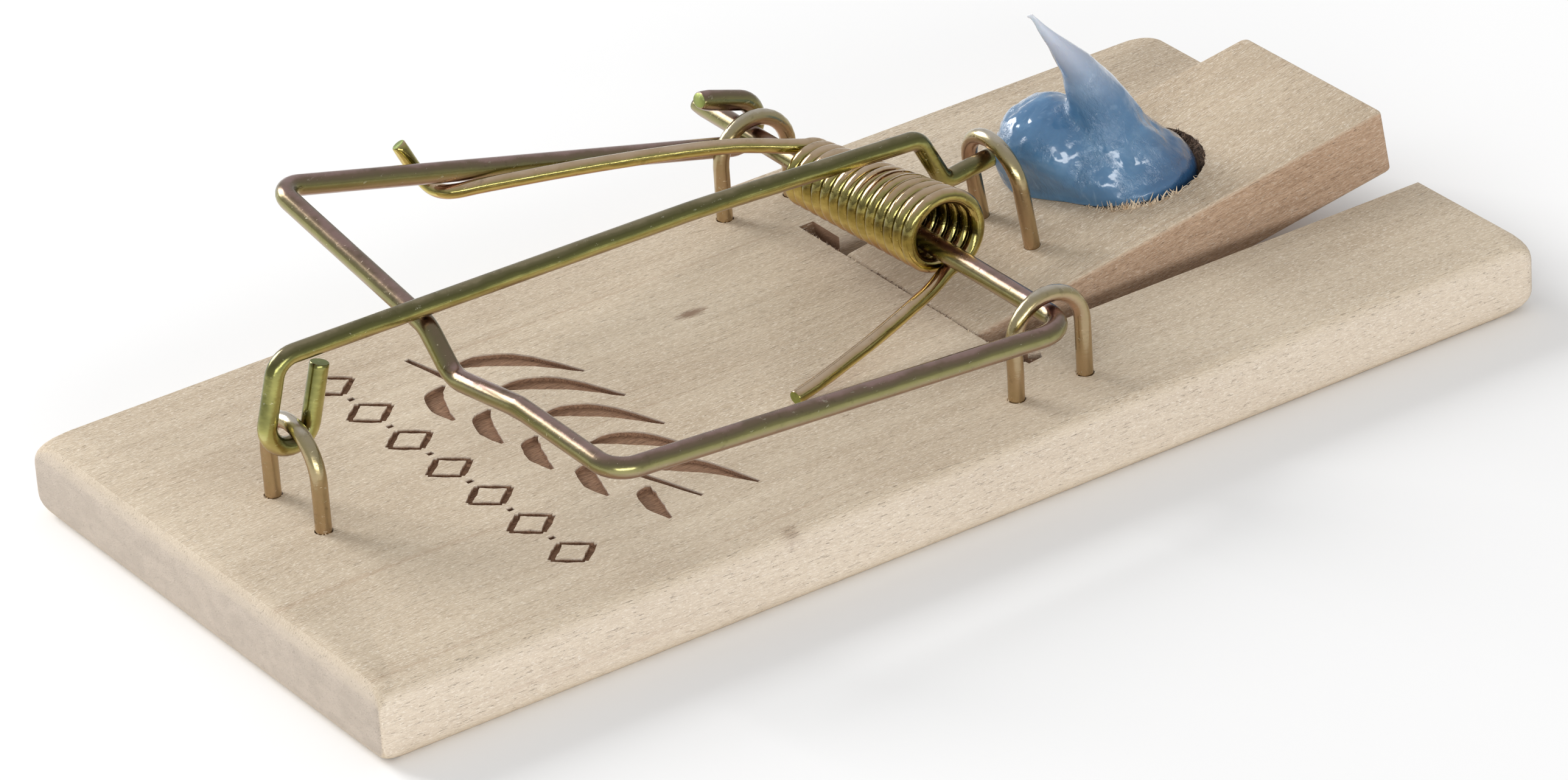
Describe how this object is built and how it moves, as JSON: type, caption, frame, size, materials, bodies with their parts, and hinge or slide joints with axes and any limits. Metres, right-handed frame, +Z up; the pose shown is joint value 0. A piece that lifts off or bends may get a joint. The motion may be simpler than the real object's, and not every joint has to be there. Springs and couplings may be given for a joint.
{
  "type": "snap mouse trap",
  "caption": "Wooden snap mouse trap, set: a tipping bait paddle in a slotted board, a stepped wire hammer bar on a torsion spring, a hooked lock bar, and a blue dab of bait gel.",
  "frame": {"origin": "centre of the board's underside", "axes": "+X along the board towards the bait end, +Y across the board towards the side where the hammer bar's free end sticks out, +Z up from the underside"},
  "size_m": [0.098, 0.0486, 0.0234],
  "materials": {
    "wood": "bare pale lime or poplar wood, sanded, matt",
    "pin_steel": "bare drawn steel",
    "staple_wire": "dull bronze-olive zinc plating",
    "bar_wire": "yellow-passivated zinc plating, olive with gold and pink tints, glossy",
    "spring_wire": "yellow-passivated zinc plating, bright gold, glossy",
    "gel": "wet, slightly cloudy blue gel"
  },
  "bodies": {
    "base": {"base_board": "wood", "paddle_pin": "pin_steel", "near_staple": "staple_wire", "far_staple": "staple_wire", "front_staple": "staple_wire", "torsion_spring": "spring_wire"},
    "paddle": {"trigger_paddle": "wood", "paddle_staple": "staple_wire", "bait_gel": "gel"},
    "hammer": {"hammer_bar": "bar_wire"},
    "lock": {"lock_bar": "bar_wire"}
  },
  "joints": [
    {"name": "hammer_swing", "type": "hinge", "parent": "base", "child": "hammer", "pos_m": [0.01, 0, 0.0112], "axis": [0, 1, 0], "range_deg": [0, 174], "deforming": ["torsion_spring"]},
    {"name": "lock_swing", "type": "hinge", "parent": "base", "child": "lock", "pos_m": [-0.03985, 0, 0.01263], "axis": [0, 1, 0], "range_deg": [-180, 0]},
    {"name": "paddle_tip", "type": "hinge", "parent": "base", "child": "paddle", "pos_m": [0.0126, 0, 0.0031], "axis": [0, 1, 0], "range_deg": [0, 8.5]}
  ]
}
